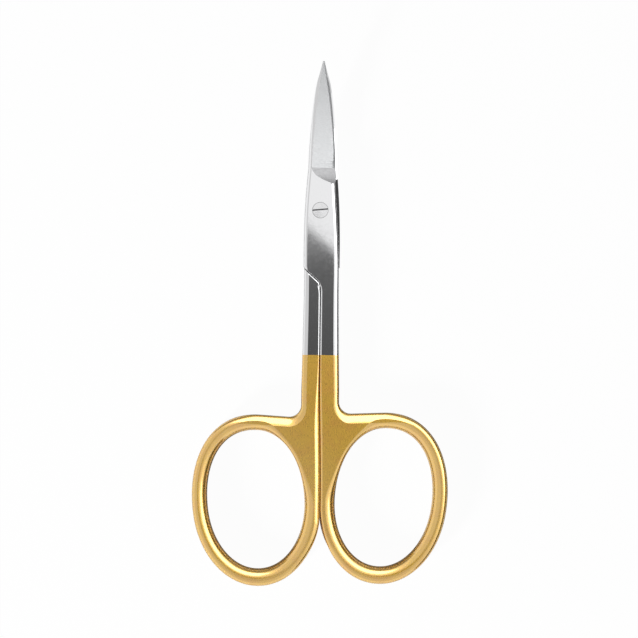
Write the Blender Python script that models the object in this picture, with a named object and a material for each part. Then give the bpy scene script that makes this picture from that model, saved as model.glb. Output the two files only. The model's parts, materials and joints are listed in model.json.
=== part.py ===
"""Nail scissors with curved blades, closed and lying on their back.

Two like forgings, one turned over, lap at a countersunk screw and swing about it. Lengths are in
metres. +Y points to the blade tips, +X to the front half's finger ring and +Z away from the surface
that the scissors lie on. The origin is under the middle of the whole tool.

Each half is first drawn as the front one, in a plan whose y axis is the seam between the shanks,
with y = 0 at the height of the screw.
"""

import math
from collections import namedtuple

import bmesh
import bpy
from mathutils import Matrix, Vector

# The whole tool
THICKNESS = 0.0030  # through the rings, the shanks and the two lapped plates
SEAM_GAP = 0.00025  # between the halves, along the shanks and at the shoulders
LAP_GAP = 0.00012  # between the lapped plates and between the blades
TIP_REACH = 0.0254  # from the screw's height to the blade tips
PLATING_REACH = 0.02487  # from the screw's height down to the edge of the gold plating

# Lapped plates and shoulders
LAP_HALF_WIDTH = 0.00310
SHOULDER_REACH = 0.01009  # from the screw's height down to the shoulder's outer end
SHOULDER_FALL = 0.00279  # how much lower the shoulder's inner end lies
SHOULDER_ROUND = 0.00045  # radius where the shoulder runs into the seam
CORNER_PASS = 0.00003  # how far that radius runs past the seam face in the seat's cut
LAP_SIDE_SHARES = ((0, 0), (0.29, 0), (0.58, 0.20), (0.82, 0.59), (1, 1))
LAP_EDGE_ROUND = 0.00060  # rounding of the plates' long edges

# Blades
BLADE_START = 0.0073  # from the screw's height to the foot of the ground face
BLADE_HALF_WIDTH = 0.00246  # from the seam line to the spine at the foot
HEEL_REACH = 0.01035  # from the screw's height to the heel of the straight cutting edge
HEEL_HALF_WIDTH = 0.00203  # from the seam line to the cutting edge at the heel
TIP_RADIUS = 0.00018
SPINE_SHARES = ((0, 1), (0.17, 0.95), (0.40, 0.82), (0.63, 0.65), (0.80, 0.44), (0.91, 0.19), (1, 0))
SPINE_ROUND_SHARE = 0.28  # of the blade's width, where that is narrower than the plates' rounding
HONE_WIDTH = 0.00020  # honed bevel along the cutting edge
HONE_WIDTH_SHARE = 0.25  # of the blade's width, where that is narrower
HONE_DEPTH_SHARE = 0.85  # of the thickness left by grinding, taken off at the cutting edge
GRIND_FALL_SHARE = 0.24  # fall of the ground face from spine to edge, of the width that it crosses
GRIND_TAPER_SHARE = 0.050  # thinning of the blade from foot to tip, of its length
WHEEL_RADIUS = 0.0063  # of the wheel whose run-out ends the ground face
CURVE_RISE = 0.0032  # how far the curved tips rise over the flat of the plates
BLADE_STATIONS = 10
RUNOUT_STATIONS = 5
TIP_STEPS = 4

# Shanks
SHANK_HALF_WIDTH = 0.00325  # from the seam line to the outer side, above the yoke
SHANK_REACH = 0.0310  # from the screw's height down to the yoke
SHANK_SIDE_SHARES = (
    (0, 0),
    (0.17, 0.10),
    (0.38, 0.205),
    (0.535, 0.246),
    (0.626, 0.37),
    (0.742, 0.656),
    (0.834, 0.844),
    (0.917, 0.885),
    (1, 1),
)
SHANK_STATIONS = 12
SHANK_EDGE_ROUND = 0.00100  # rounding of the outer edges at the yoke
SEAM_EDGE_ROUND = 0.00024  # rounding along the seam, down to the plating
SEAM_RING_ROUND = 0.00075  # the same between the rings, on the face away from the half's plate
SEAM_LAP_ROUND = 0.00035  # the same between the rings, on the plate's own face
SEAM_STATIONS = 7

# Finger rings and yokes
HOLE_HALF_WIDTH = 0.00835
HOLE_HALF_LENGTH = 0.01193
WIRE_SIDE = 0.00262
WIRE_TOP = 0.00263
WIRE_BOTTOM = 0.00295
RING_TOP_POWER = 2.17  # of the superellipse: 2 is an ellipse, more is squarer
RING_BOTTOM_POWER = 2.04
RING_EDGE_ROUND = 0.00118
EDGE_DEPTH = 0.00125  # the deepest that any rounding reaches into the thickness
HOLE_YOKE_ROUND = 0.00065  # rounding of the finger hole's edge towards the yoke
YOKE_FILLET = 0.00205
YOKE_EDGE_ROUND = 0.00160
RING_FROM = math.radians(184)  # where the ring's outline leaves the seam
RING_TO = math.radians(457)  # where it runs straight on to the yoke's fillet
YOKE_SIDE = math.radians(145)  # the middle of the yoke, seen from the finger hole
TANGENT_STEP = math.radians(0.1)  # short enough to give the outline's direction at RING_TO
RING_STEPS = 44
HOLE_STEPS = 48
ARC_STEPS = 5
ROUND_STEPS = 4  # facets across each rounded edge

FRONT_RING_WALL = 0.00275  # from the seam line to the finger hole
FRONT_RING_DOWN = 0.04929  # from the screw's height down to the middle of the finger hole
FRONT_RING_LEAN = math.radians(5.6)
REAR_RING_WALL = 0.00254
REAR_RING_DOWN = 0.04985
REAR_RING_LEAN = math.radians(4.4)

# Screw
PIVOT_X = -0.00032
HEAD_RADIUS = 0.00133
HEAD_RIM = 0.00008
STEM_RADIUS = 0.00090
STEM_CHAMFER = 0.00010
STEM_CLEARANCE = 0.00005  # all round, in both plates
SLOT_WIDTH = 0.00024
SLOT_DEPTH = 0.00036
SLOT_TURN = math.radians(5.3)
SCREW_STEPS = 40
OVERRUN = 0.0010  # how far cutters reach past what they cut
SNAP = 1e-7  # a cut this near to a point takes the point

SEAM = SEAM_GAP / 2
PLATE = (THICKNESS - LAP_GAP) / 2
SHOULDER_SLOPE = SHOULDER_FALL / (LAP_HALF_WIDTH + SEAM)
TIP_CENTRE = TIP_REACH - TIP_RADIUS

Ring = namedtuple("Ring", "x y lean")
FRONT_RING = Ring(FRONT_RING_WALL + HOLE_HALF_WIDTH, -FRONT_RING_DOWN, FRONT_RING_LEAN)
REAR_RING = Ring(REAR_RING_WALL + HOLE_HALF_WIDTH, -REAR_RING_DOWN, REAR_RING_LEAN)

# A point of a half's outline, the widths of its edge roundings on the plate's face (front) and on
# the other face (back), how deep the front one is, and how far it is a honed bevel instead
Rim = namedtuple("Rim", "x y front back depth hone")


def ease(share):
    """Runs smoothly from 0 to 1 as the share does."""
    share = min(max(share, 0), 1)
    return share * share * (3 - 2 * share)


def blend(low, high, share):
    return low + (high - low) * share


def through(shares, place):
    """The smooth curve through a table of (place, height) shares, read at a place."""
    last = len(shares) - 1
    k = max(i for i in range(last) if i == 0 or shares[i][0] <= place)

    def slope(i):
        before = shares[max(i - 1, 0)]
        after = shares[min(i + 1, last)]
        return (after[1] - before[1]) / (after[0] - before[0])

    (start, low), (end, high) = shares[k], shares[k + 1]
    width = end - start
    t = (place - start) / width
    rise = low * (1 + 2 * t) * (1 - t) ** 2 + high * t**2 * (3 - 2 * t)
    return rise + width * (slope(k) * t * (1 - t) ** 2 - slope(k + 1) * t**2 * (1 - t))


def far_side(y):
    """Half width on the side away from the half's own ring: the spine, and the plate below it."""
    if y > BLADE_START:
        share = through(SPINE_SHARES, (y - BLADE_START) / (TIP_CENTRE - BLADE_START))
        return blend(TIP_RADIUS, BLADE_HALF_WIDTH, share)
    share = through(LAP_SIDE_SHARES, (y + SHOULDER_REACH) / (BLADE_START + SHOULDER_REACH))
    return blend(LAP_HALF_WIDTH, BLADE_HALF_WIDTH, share)


def near_side(y):
    """Half width on the side of the half's own ring: the cutting edge, and the shank below it."""
    if y > HEEL_REACH:
        return blend(HEEL_HALF_WIDTH, TIP_RADIUS, (y - HEEL_REACH) / (TIP_CENTRE - HEEL_REACH))
    share = through(SHANK_SIDE_SHARES, (y + SHANK_REACH) / (HEEL_REACH + SHANK_REACH))
    return blend(SHANK_HALF_WIDTH, HEEL_HALF_WIDTH, share)


def spine_round(y):
    """Width of the rounding along the spine, which narrows with the blade."""
    return min(LAP_EDGE_ROUND, SPINE_ROUND_SHARE * (far_side(y) + near_side(y)))


def ground_depth(x, y):
    """What grinding takes off the blade's outer face at a point of the plan."""
    across = max(x + far_side(y) - spine_round(y), 0) * GRIND_FALL_SHARE
    if y > BLADE_START:
        return across + (y - BLADE_START) * GRIND_TAPER_SHARE
    back = min(BLADE_START - y, WHEEL_RADIUS)
    return max(across - WHEEL_RADIUS + math.sqrt(WHEEL_RADIUS**2 - back**2), 0)


def runout_points():
    """Points of the curved foot of the ground face, from the spine's rounding to the near side."""
    spine = spine_round(BLADE_START) - far_side(BLADE_START)
    points = []
    for step in range(RUNOUT_STATIONS + 1):
        x = blend(spine, near_side(BLADE_START), step / RUNOUT_STATIONS)
        depth = (x - spine) * GRIND_FALL_SHARE
        points.append((x, BLADE_START - math.sqrt(WHEEL_RADIUS**2 - (WHEEL_RADIUS - depth) ** 2)))
    return points


def stations(start, end, count):
    """Heights at even steps from start to end, both included."""
    return [blend(start, end, step / count) for step in range(count + 1)]


def blade_stations():
    """Heights of the cross-cuts from the foot of the ground face to the tip, from the lowest up."""
    runout = sorted(y for x, y in runout_points())
    return runout + stations(BLADE_START, TIP_CENTRE, BLADE_STATIONS)[1:]


def arc_between(start, corner, end, radius):
    """Points of the arc that rounds the corner between two straight lines."""
    to_start = (start - corner).normalized()
    to_end = (end - corner).normalized()
    half = to_start.angle(to_end) / 2
    middle = (to_start + to_end).normalized()
    centre = corner + middle * (radius / math.sin(half))
    sweep = math.pi / 2 - half
    side = math.copysign(1, to_start.cross(middle))
    points = []
    for step in range(ARC_STEPS + 1):
        turn = Matrix.Rotation(side * sweep * (1 - 2 * step / ARC_STEPS), 2)
        points.append(centre - turn @ middle * radius)
    return points


def ring_curve(ring, half_width, half_length, shift, turn):
    """The point of a finger ring's leaning, slightly squared oval at an angle of its parameter."""
    across = math.cos(turn)
    along = math.sin(turn)
    power = blend(RING_BOTTOM_POWER, RING_TOP_POWER, ease((along + 1) / 2))
    x = math.copysign(abs(across) ** (2 / power), across) * half_width
    y = math.copysign(abs(along) ** (2 / power), along) * half_length
    point = Matrix.Rotation(-ring.lean, 2) @ Vector((x, y + shift))
    return point + Vector((ring.x, ring.y))


def ring_outside(ring, turn):
    half_length = HOLE_HALF_LENGTH + (WIRE_TOP + WIRE_BOTTOM) / 2
    shift = (WIRE_TOP - WIRE_BOTTOM) / 2
    return ring_curve(ring, HOLE_HALF_WIDTH + WIRE_SIDE, half_length, shift, turn)


def blade_rims():
    """The outline round the tip and down the far side to the shoulder."""
    rims = []
    for step in range(TIP_STEPS + 1):
        turn = math.pi * step / TIP_STEPS
        x = TIP_RADIUS * math.cos(turn)
        y = TIP_CENTRE + TIP_RADIUS * math.sin(turn)
        width = blend(hone_width(TIP_CENTRE), spine_round(TIP_CENTRE), step / TIP_STEPS)
        rims.append(Rim(x, y, width, LAP_EDGE_ROUND, LAP_EDGE_ROUND, 1 - step / TIP_STEPS))
    lap = stations(-SHOULDER_REACH, blade_stations()[0], RUNOUT_STATIONS)
    for y in reversed(lap[:-1] + blade_stations()[:-1]):
        rims.append(Rim(-far_side(y), y, spine_round(y), LAP_EDGE_ROUND, LAP_EDGE_ROUND, 0))
    return rims


def hone_width(y):
    return min(HONE_WIDTH, HONE_WIDTH_SHARE * (far_side(y) + near_side(y)))


def seam_rims(ring):
    """The outline along the shoulder and down the seam to the finger ring."""
    outer = Vector((-LAP_HALF_WIDTH, -SHOULDER_REACH))
    inner = Vector((SEAM, -SHOULDER_REACH - SHOULDER_FALL))
    end = Vector((SEAM, ring_outside(ring, RING_FROM).y))
    rims = []
    for point in arc_between(outer, inner, end, SHOULDER_ROUND):
        rims.append(Rim(*point, SEAM_EDGE_ROUND, SEAM_EDGE_ROUND, SEAM_EDGE_ROUND, 0))
    for y in stations(rims[-1].y, end.y, SEAM_STATIONS)[1:-1]:
        growth = ease((y + PLATING_REACH) / (ring.y + HOLE_HALF_LENGTH + PLATING_REACH))
        front = blend(SEAM_EDGE_ROUND, SEAM_LAP_ROUND, growth)
        back = blend(SEAM_EDGE_ROUND, SEAM_RING_ROUND, growth)
        rims.append(Rim(SEAM, y, front, back, front, 0))
    return rims


def ring_rims(ring):
    """The outline round the finger ring, up to where it runs straight on to the yoke."""
    rims = []
    for step in range(RING_STEPS + 1):
        share = step / RING_STEPS
        x, y = ring_outside(ring, blend(RING_FROM, RING_TO, share))
        x = max(x, SEAM)
        width = blend(RING_EDGE_ROUND, YOKE_EDGE_ROUND, ease(4 * share - 3))
        away = ease((x - SEAM) / WIRE_SIDE)
        front = blend(SEAM_LAP_ROUND, width, away)
        back = blend(SEAM_RING_ROUND, width, away)
        rims.append(Rim(x, y, front, back, front, 0))
    return rims


def shank_rims(ring):
    """The outline through the yoke's fillet and up the near side to the tip."""
    start = ring_outside(ring, RING_TO)
    heading = start - ring_outside(ring, RING_TO - TANGENT_STEP)
    side = Vector((SHANK_HALF_WIDTH, start.y + heading.y * (SHANK_HALF_WIDTH - start.x) / heading.x))
    rims = []
    for point in arc_between(start, side, Vector((SHANK_HALF_WIDTH, 0)), YOKE_FILLET):
        rims.append(Rim(*point, YOKE_EDGE_ROUND, YOKE_EDGE_ROUND, YOKE_EDGE_ROUND, 0))
    ground = blade_stations()
    shank = stations(-SHANK_REACH, ground[0], SHANK_STATIONS)
    for y in shank[:-1] + ground:
        width = blend(SHANK_EDGE_ROUND, LAP_EDGE_ROUND, ease(1 + y / SHANK_REACH))
        if y < rims[ARC_STEPS].y + SHANK_EDGE_ROUND:
            continue
        hone = ease((y - ground[0]) / (HEEL_REACH - ground[0]))
        front = blend(width, hone_width(y), hone)
        rims.append(Rim(near_side(y), y, front, width, width, hone))
    return rims


def hole_rims(ring):
    """The finger hole's outline, clockwise, so that the metal lies on the same hand as outside."""
    rims = []
    for step in range(HOLE_STEPS):
        turn = -2 * math.pi * step / HOLE_STEPS
        x, y = ring_curve(ring, HOLE_HALF_WIDTH, HOLE_HALF_LENGTH, 0, turn)
        yoke = ease((math.cos(turn - YOKE_SIDE) + 1) / 2)
        width = blend(RING_EDGE_ROUND, HOLE_YOKE_ROUND, yoke)
        rims.append(Rim(x, y, width, width, width, 0))
    return rims


def inward(rims, index, face):
    """The step from an outline's point to the inner edge of its rounding on one face."""
    here = rims[index]
    before = rims[index - 1]
    after = rims[(index + 1) % len(rims)]
    first = Vector((here.x - before.x, here.y - before.y)).normalized().orthogonal()
    second = Vector((after.x - here.x, after.y - here.y)).normalized().orthogonal()
    mitre = (first + second) / (1 + first.dot(second))
    return mitre * getattr(here, face)


def rounded_rows(rims):
    """Rows of points from the back face's flat, round both edges, to the front face's flat."""
    rows = []
    for face, sign in (("back", -1), ("front", 1)):
        side = []
        for step in range(ROUND_STEPS + 1):
            turn = math.pi / 2 * step / ROUND_STEPS
            row = []
            for index, rim in enumerate(rims):
                hone = rim.hone if sign > 0 else 0
                depth = min(rim.depth if sign > 0 else rim.back, EDGE_DEPTH)
                depth = blend(depth, PLATE * HONE_DEPTH_SHARE, hone)
                step_in = blend(1 - math.cos(turn), step / ROUND_STEPS, hone)
                drop = blend(1 - math.sin(turn), 1 - step / ROUND_STEPS, hone)
                x, y = Vector((rim.x, rim.y)) + inward(rims, index, face) * step_in
                row.append((x, y, sign * (THICKNESS / 2 - depth * drop)))
            side.append(row)
        rows += reversed(side) if sign < 0 else side
    return rows


def skin(bm, rows):
    """Joins rows of points into a closed band, and returns the edges of its first and last row."""
    rings = [[bm.verts.new(point) for point in row] for row in rows]
    for low, high in zip(rings, rings[1:]):
        for index in range(len(low)):
            bm.faces.new((low[index - 1], low[index], high[index], high[index - 1]))
    ends = []
    for ring in (rings[0], rings[-1]):
        ends.append([bm.edges.get((ring[index - 1], ring[index])) for index in range(len(ring))])
    return ends


def forging(ring):
    """The blank of a half: its whole outline at full thickness, with the finger hole."""
    outline = blade_rims() + seam_rims(ring) + ring_rims(ring) + shank_rims(ring)
    bm = bmesh.new()
    back, front = skin(bm, rounded_rows(outline[:-1]))
    hole_back, hole_front = skin(bm, rounded_rows(hole_rims(ring)))
    bmesh.ops.triangle_fill(bm, edges=back + hole_back, use_beauty=True)
    bmesh.ops.triangle_fill(bm, edges=front + hole_front, use_beauty=True)
    bmesh.ops.recalc_face_normals(bm, faces=bm.faces)
    return bm


def prism(outline, low, high):
    """A closed prism over an outline of the plan."""
    bm = bmesh.new()
    face = bm.faces.new([bm.verts.new((x, y, low)) for x, y in outline])
    walls = bmesh.ops.extrude_face_region(bm, geom=[face])
    raised = [item for item in walls["geom"] if isinstance(item, bmesh.types.BMVert)]
    bmesh.ops.translate(bm, verts=raised, vec=(0, 0, high - low))
    bmesh.ops.recalc_face_normals(bm, faces=bm.faces)
    return bm


def turned(profile):
    """A closed solid of revolution about the screw's axis."""
    bm = bmesh.new()
    points = [bm.verts.new((radius, 0, height)) for radius, height in profile]
    edges = [bm.edges.new(pair) for pair in zip(points, points[1:])]
    bmesh.ops.spin(
        bm,
        geom=points + edges,
        axis=(0, 0, 1),
        cent=(0, 0, 0),
        angle=2 * math.pi,
        steps=SCREW_STEPS,
        use_merge=True,
    )
    bmesh.ops.remove_doubles(bm, verts=bm.verts, dist=SNAP)
    bmesh.ops.recalc_face_normals(bm, faces=bm.faces)
    return bm


def new_object(name, bm, *materials):
    mesh = bpy.data.meshes.new(name)
    bm.to_mesh(mesh)
    bm.free()
    for material in materials:
        mesh.materials.append(material)
    obj = bpy.data.objects.new(name, mesh)
    bpy.context.scene.collection.objects.link(obj)
    return obj


def cut(body, tool):
    """Takes the tool's shape out of the body."""
    boolean = body.modifiers.new("cut", "BOOLEAN")
    boolean.operation = "DIFFERENCE"
    boolean.solver = "EXACT"
    boolean.object = tool
    bpy.context.view_layer.objects.active = body
    bpy.ops.object.modifier_apply(modifier=boolean.name)
    bpy.data.objects.remove(tool)


def seat_tool():
    """Clears the space behind the plate, down to the seat of the other half's shoulder."""
    reach = LAP_HALF_WIDTH + OVERRUN
    gap = SEAM_GAP * math.hypot(1, SHOULDER_SLOPE)

    def seat_line(x):
        return -SHOULDER_REACH - gap - (LAP_HALF_WIDTH - x) * SHOULDER_SLOPE

    edge = SEAM - CORNER_PASS
    corner = Vector((edge, seat_line(edge)))
    right = Vector((reach, seat_line(reach)))
    low = Vector((edge, corner.y - OVERRUN))
    outline = [right, *arc_between(right, corner, low, SHOULDER_ROUND), low]
    outline += [Vector((-reach, low.y)), Vector((-reach, TIP_REACH + OVERRUN))]
    outline += [Vector((reach, TIP_REACH + OVERRUN))]
    return new_object("seat_tool", prism(outline, -THICKNESS, LAP_GAP / 2))


def cross_cut(bm, y):
    """Adds a line of points right round the half at a height of the plan."""
    geometry = bm.verts[:] + bm.edges[:] + bm.faces[:]
    bmesh.ops.bisect_plane(bm, geom=geometry, dist=SNAP, plane_co=(0, y, 0), plane_no=(0, 1, 0))


def score_runout(bm):
    """Adds the curved foot of the ground face as a line of points on the outer face."""
    points = runout_points()
    for (x, y), (next_x, next_y) in zip(points, points[1:]):
        band = []
        for face in bm.faces:
            if face.normal.z > 0 and next_y < face.calc_center_median().y < y:
                band.append(face)
        edges = {edge for face in band for edge in face.edges}
        verts = {vert for face in band for vert in face.verts}
        across = Vector((next_y - y, x - next_x, 0))
        bmesh.ops.bisect_plane(
            bm, geom=[*verts, *edges, *band], dist=SNAP, plane_co=(x, y, 0), plane_no=across
        )


def grind(half):
    """Thins the blade from its outer face, by the ground face's depth at each point."""
    bm = bmesh.new()
    bm.from_mesh(half.data)
    for y in blade_stations()[:-1]:
        cross_cut(bm, y)
    score_runout(bm)
    bmesh.ops.triangulate(bm, faces=bm.faces)
    inner = LAP_GAP / 2
    for vert in bm.verts:
        x, y, z = vert.co
        if z > inner and y > blade_stations()[0]:
            vert.co.z = inner + (z - inner) * (1 - ground_depth(x, min(y, TIP_CENTRE)) / PLATE)
    bm.to_mesh(half.data)
    bm.free()


def curve_blade(half):
    """Bends the blade up from its foot, by a rise that depends only on the distance to the screw."""
    reach = TIP_REACH - BLADE_START
    for vert in half.data.vertices:
        distance = math.hypot(vert.co.x, vert.co.y) - BLADE_START
        if vert.co.y > 0 and distance > 0:
            vert.co.z += CURVE_RISE * (distance / reach) ** 2


def plate_handle(half):
    """Gives the faces below the plating's edge the second material."""
    bm = bmesh.new()
    bm.from_mesh(half.data)
    cross_cut(bm, -PLATING_REACH)
    for face in bm.faces:
        face.material_index = int(face.calc_center_median().y < -PLATING_REACH)
    bmesh.ops.triangulate(bm, faces=bm.faces)
    bm.to_mesh(half.data)
    bm.free()


def screw_profile(clearance, top, bottom, chamfer):
    """Outside of the screw, from its head's middle to its end's, or of the bore that it fits."""
    cone_top = THICKNESS / 2 - HEAD_RIM
    return (
        (0, top),
        (HEAD_RADIUS + clearance, top),
        (HEAD_RADIUS + clearance, cone_top),
        (STEM_RADIUS + clearance, cone_top - HEAD_RADIUS + STEM_RADIUS),
        (STEM_RADIUS + clearance, bottom + chamfer),
        (STEM_RADIUS + clearance - chamfer, bottom),
        (0, bottom),
    )


def material(name, colour, roughness):
    """A metal's Principled BSDF material."""
    metal = bpy.data.materials.new(name)
    metal.use_nodes = True
    shader = metal.node_tree.nodes["Principled BSDF"]
    shader.inputs["Base Color"].default_value = (*colour, 1)
    shader.inputs["Metallic"].default_value = 1
    shader.inputs["Roughness"].default_value = roughness
    return metal


def build_half(name, ring, turned_over, steel, gold):
    """A half with its plate and blade, its screw hole on its object's origin."""
    half = new_object(name, forging(ring), steel, gold)
    cut(half, seat_tool())
    grind(half)
    if turned_over:
        half.data.transform(Matrix.Rotation(math.pi, 4, "Y"))
    half.data.transform(Matrix.Translation((-PIVOT_X, 0, 0)))
    return half


def build_screw(steel):
    """The slotted countersunk screw, flush in front and riveted flush behind."""
    top = THICKNESS / 2
    screw = new_object("pivot_screw", turned(screw_profile(0, top, -top, STEM_CHAMFER)), steel)
    reach = HEAD_RADIUS + OVERRUN
    half_slot = SLOT_WIDTH / 2
    corners = ((-reach, -half_slot), (reach, -half_slot), (reach, half_slot), (-reach, half_slot))
    slot = new_object("slot_tool", prism(corners, top - SLOT_DEPTH, top + OVERRUN))
    slot.data.transform(Matrix.Rotation(SLOT_TURN, 4, "Z"))
    cut(screw, slot)
    return screw


def tool_middle():
    """The middle of the whole tool's plan, in the plan of the seam."""
    outlines = []
    for ring in (FRONT_RING, REAR_RING):
        turns = stations(RING_FROM, RING_TO, RING_STEPS)
        outlines.append([ring_outside(ring, turn) for turn in turns])
    right = max(point.x for point in outlines[0])
    left = -max(point.x for point in outlines[1])
    low = min(point.y for outline in outlines for point in outline)
    return (left + right) / 2, (low + TIP_REACH) / 2


def build():
    for obj in list(bpy.data.objects):
        bpy.data.objects.remove(obj)
    steel = material("polished_steel", (0.72, 0.72, 0.73), 0.18)
    gold = material("gold_plating", (0.83, 0.58, 0.22), 0.22)
    screw_steel = material("screw_steel", (0.66, 0.66, 0.67), 0.25)
    front = build_half("front_half", FRONT_RING, False, steel, gold)
    rear = build_half("rear_half", REAR_RING, True, steel, gold)
    top = THICKNESS / 2 + OVERRUN
    countersink = screw_profile(STEM_CLEARANCE, top, -top, 0)
    bore = ((0, top), (STEM_RADIUS + STEM_CLEARANCE, top), (STEM_RADIUS + STEM_CLEARANCE, -top), (0, -top))
    cut(front, new_object("countersink_tool", turned(countersink)))
    cut(rear, new_object("bore_tool", turned(bore)))
    for half in (front, rear):
        curve_blade(half)
        plate_handle(half)
    screw = build_screw(screw_steel)
    middle_x, middle_y = tool_middle()
    for piece in (front, rear, screw):
        piece.location = (PIVOT_X - middle_x, -middle_y, THICKNESS / 2)
        piece.data.shade_smooth()
        piece.data.set_sharp_from_angle(angle=math.radians(35))


build()
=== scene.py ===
"""Dresses the nail scissors: finely finished forgings, gold-plated handles and a slotted screw."""

import json
import math
from collections import namedtuple

import bmesh
import bpy
from mathutils import Matrix, Vector


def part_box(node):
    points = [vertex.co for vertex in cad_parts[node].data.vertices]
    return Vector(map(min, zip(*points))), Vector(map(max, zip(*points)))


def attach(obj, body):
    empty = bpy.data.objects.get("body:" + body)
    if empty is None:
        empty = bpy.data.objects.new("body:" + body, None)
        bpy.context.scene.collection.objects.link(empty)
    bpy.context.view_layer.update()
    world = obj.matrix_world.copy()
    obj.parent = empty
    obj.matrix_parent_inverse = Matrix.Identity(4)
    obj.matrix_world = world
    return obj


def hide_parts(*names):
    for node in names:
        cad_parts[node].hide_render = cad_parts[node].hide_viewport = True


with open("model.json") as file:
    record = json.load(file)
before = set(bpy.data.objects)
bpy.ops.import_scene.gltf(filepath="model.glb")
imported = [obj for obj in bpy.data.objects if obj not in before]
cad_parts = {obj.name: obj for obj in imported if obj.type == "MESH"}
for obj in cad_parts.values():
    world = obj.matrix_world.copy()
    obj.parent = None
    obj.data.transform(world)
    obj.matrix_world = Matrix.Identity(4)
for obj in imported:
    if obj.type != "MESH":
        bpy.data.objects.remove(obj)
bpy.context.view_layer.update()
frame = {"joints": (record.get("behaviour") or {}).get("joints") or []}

# Places and sizes from the frame
PIVOT = Vector(frame["joints"][0]["pos_m"])
SCREW_LOW, SCREW_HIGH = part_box("pivot_screw")
THICKNESS = SCREW_HIGH.z - SCREW_LOW.z
HEAD_RADIUS = (SCREW_HIGH.x - SCREW_LOW.x) / 2
TIP_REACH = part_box("front_half")[1].y - PIVOT.y  # from the screw's height to the blade tips

# The whole tool, in metres. Each half is drawn as the front one: in a plan whose y axis is the
# tool's middle line, with y = 0 at the height of the screw, and with z = 0 where the halves lap.
# A reach is a distance from the screw's height, up to the tips or down to the rings.
SEAM_GAP = 0.00014
SHOULDER_GAP = 0.00015
SEAM_LEAN = 0.13  # the seam's walls lean by this share of their height, so no light shows through
LAP_GAP = 0.00012
PLATING_REACH = 0.02487  # down to the edge of the gold plating
SEAM_SHIFT = 0.00032  # how far the seam stands to the rear half's side above the rings
SEAM_SHIFT_START = 0.0490  # where that shift starts, down between the rings
SEAM_SHIFT_FULL = 0.0270  # and where it is complete
PIVOT_X = -0.00032  # the screw's axis stands as far off the middle line

# Lapped plates and shoulders
LAP_HALF_WIDTH = 0.00310
SHOULDER_REACH = 0.00982  # down to the shoulder's outer end
SHOULDER_FALL = 0.00279  # how far the shoulder slants down from there to the seam
SHOULDER_ROUND = 0.00045  # radius where it runs into the seam
SHOULDER_BEVEL_END = 0.00068  # where the plate's side bevel runs out on the shoulder
LAP_SIDE_SHARES = ((0, 0), (0.29, 0), (0.58, 0.20), (0.82, 0.59), (1, 1))  # of way, of narrowing
LAP_EDGE_ROUND = 0.00060
LAP_DEPTH_SHARE = 0.70
LAP_BEVEL_SHARE = 0.50  # how far this edge is a flat bevel instead of round
LAP_STATIONS = 24
WEDGE_START = 0.0062  # where the bevel under the plate's side starts to grow
WEDGE_FULL = 0.0030  # and where it has its full size
WEDGE_WIDTH = 0.00075
WEDGE_DEPTH = 0.00058
INNER_BEVEL_WIDTH = 0.00025
INNER_BEVEL_DEPTH = 0.00009
SHOULDER_EDGE_ROUND = 0.00003
SHOULDER_EDGE_RUN = 0.0010  # length over which this edge grows into the seam's

# Blades
BLADE_START = 0.0073
BLADE_HALF_WIDTH = 0.00246
HEEL_REACH = 0.01035  # up to the heel, where the cutting edge starts
HEEL_HALF_WIDTH = 0.00203
EDGE_POWER = 1.5  # how far the cutting edge bellies
TIP_RADIUS = 0.00018
SPINE_SHARES = (  # of the way to the tip, and of the width that is left there
    (0, 1),
    (0.17, 0.95),
    (0.40, 0.82),
    (0.63, 0.65),
    (0.80, 0.44),
    (0.91, 0.19),
    (1, 0),
)
SPINE_ROUND_SHARE = 0.28  # of the blade's width, where that is narrower than the plate's rounding
HONE_START = 0.0045
HONE_WIDTH = 0.00020  # honed bevel along the cutting edge
HONE_WIDTH_SHARE = 0.25  # of the blade's width, where that is narrower
HONE_DEPTH_SHARE = 0.85
GRIND_FALL_SHARE = 0.24  # fall of the ground face from spine to edge
GRIND_TAPER_SHARE = 0.050  # thinning of the blade from foot to tip
WHEEL_RADIUS = 0.00455
WHEEL_STEPS = 360
WHEEL_PASS = 0.000002  # how far the wheel goes past the ground face, so that they cross cleanly
STEP = 0.00002  # length of the step at the blade's start, which the wheel takes off
CURVE_RISE = 0.0032
BLADE_STATIONS = 44
TIP_STEPS = 8

# Shanks
SHANK_HALF_WIDTH = 0.00325
SHANK_REACH = 0.0310
SHANK_SIDE_SHARES = (  # of the way up from the shank's foot to the heel, and of the narrowing
    (0, 0),
    (0.17, 0.10),
    (0.38, 0.205),
    (0.535, 0.246),
    (0.626, 0.37),
    (0.742, 0.600),
    (0.834, 0.800),
    (0.917, 0.885),
    (1, 1),
)
SHANK_STATIONS = 56
SHANK_EDGE_ROUND = 0.00095
SHANK_DEPTH_SHARE = 0.60
PLATE_EDGE_ROUND = 0.00078
SEAM_EDGE_ROUND = 0.00022
SEAM_RING_WIDTH = 0.00085  # the seam's edges between the rings
SEAM_RING_DEPTH = 0.00036
SEAM_BEVEL_SHARE = 0.60
SEAM_LAP_ROUND = 0.00035  # the same on the plate's own face
SEAM_STATIONS = 56

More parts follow.
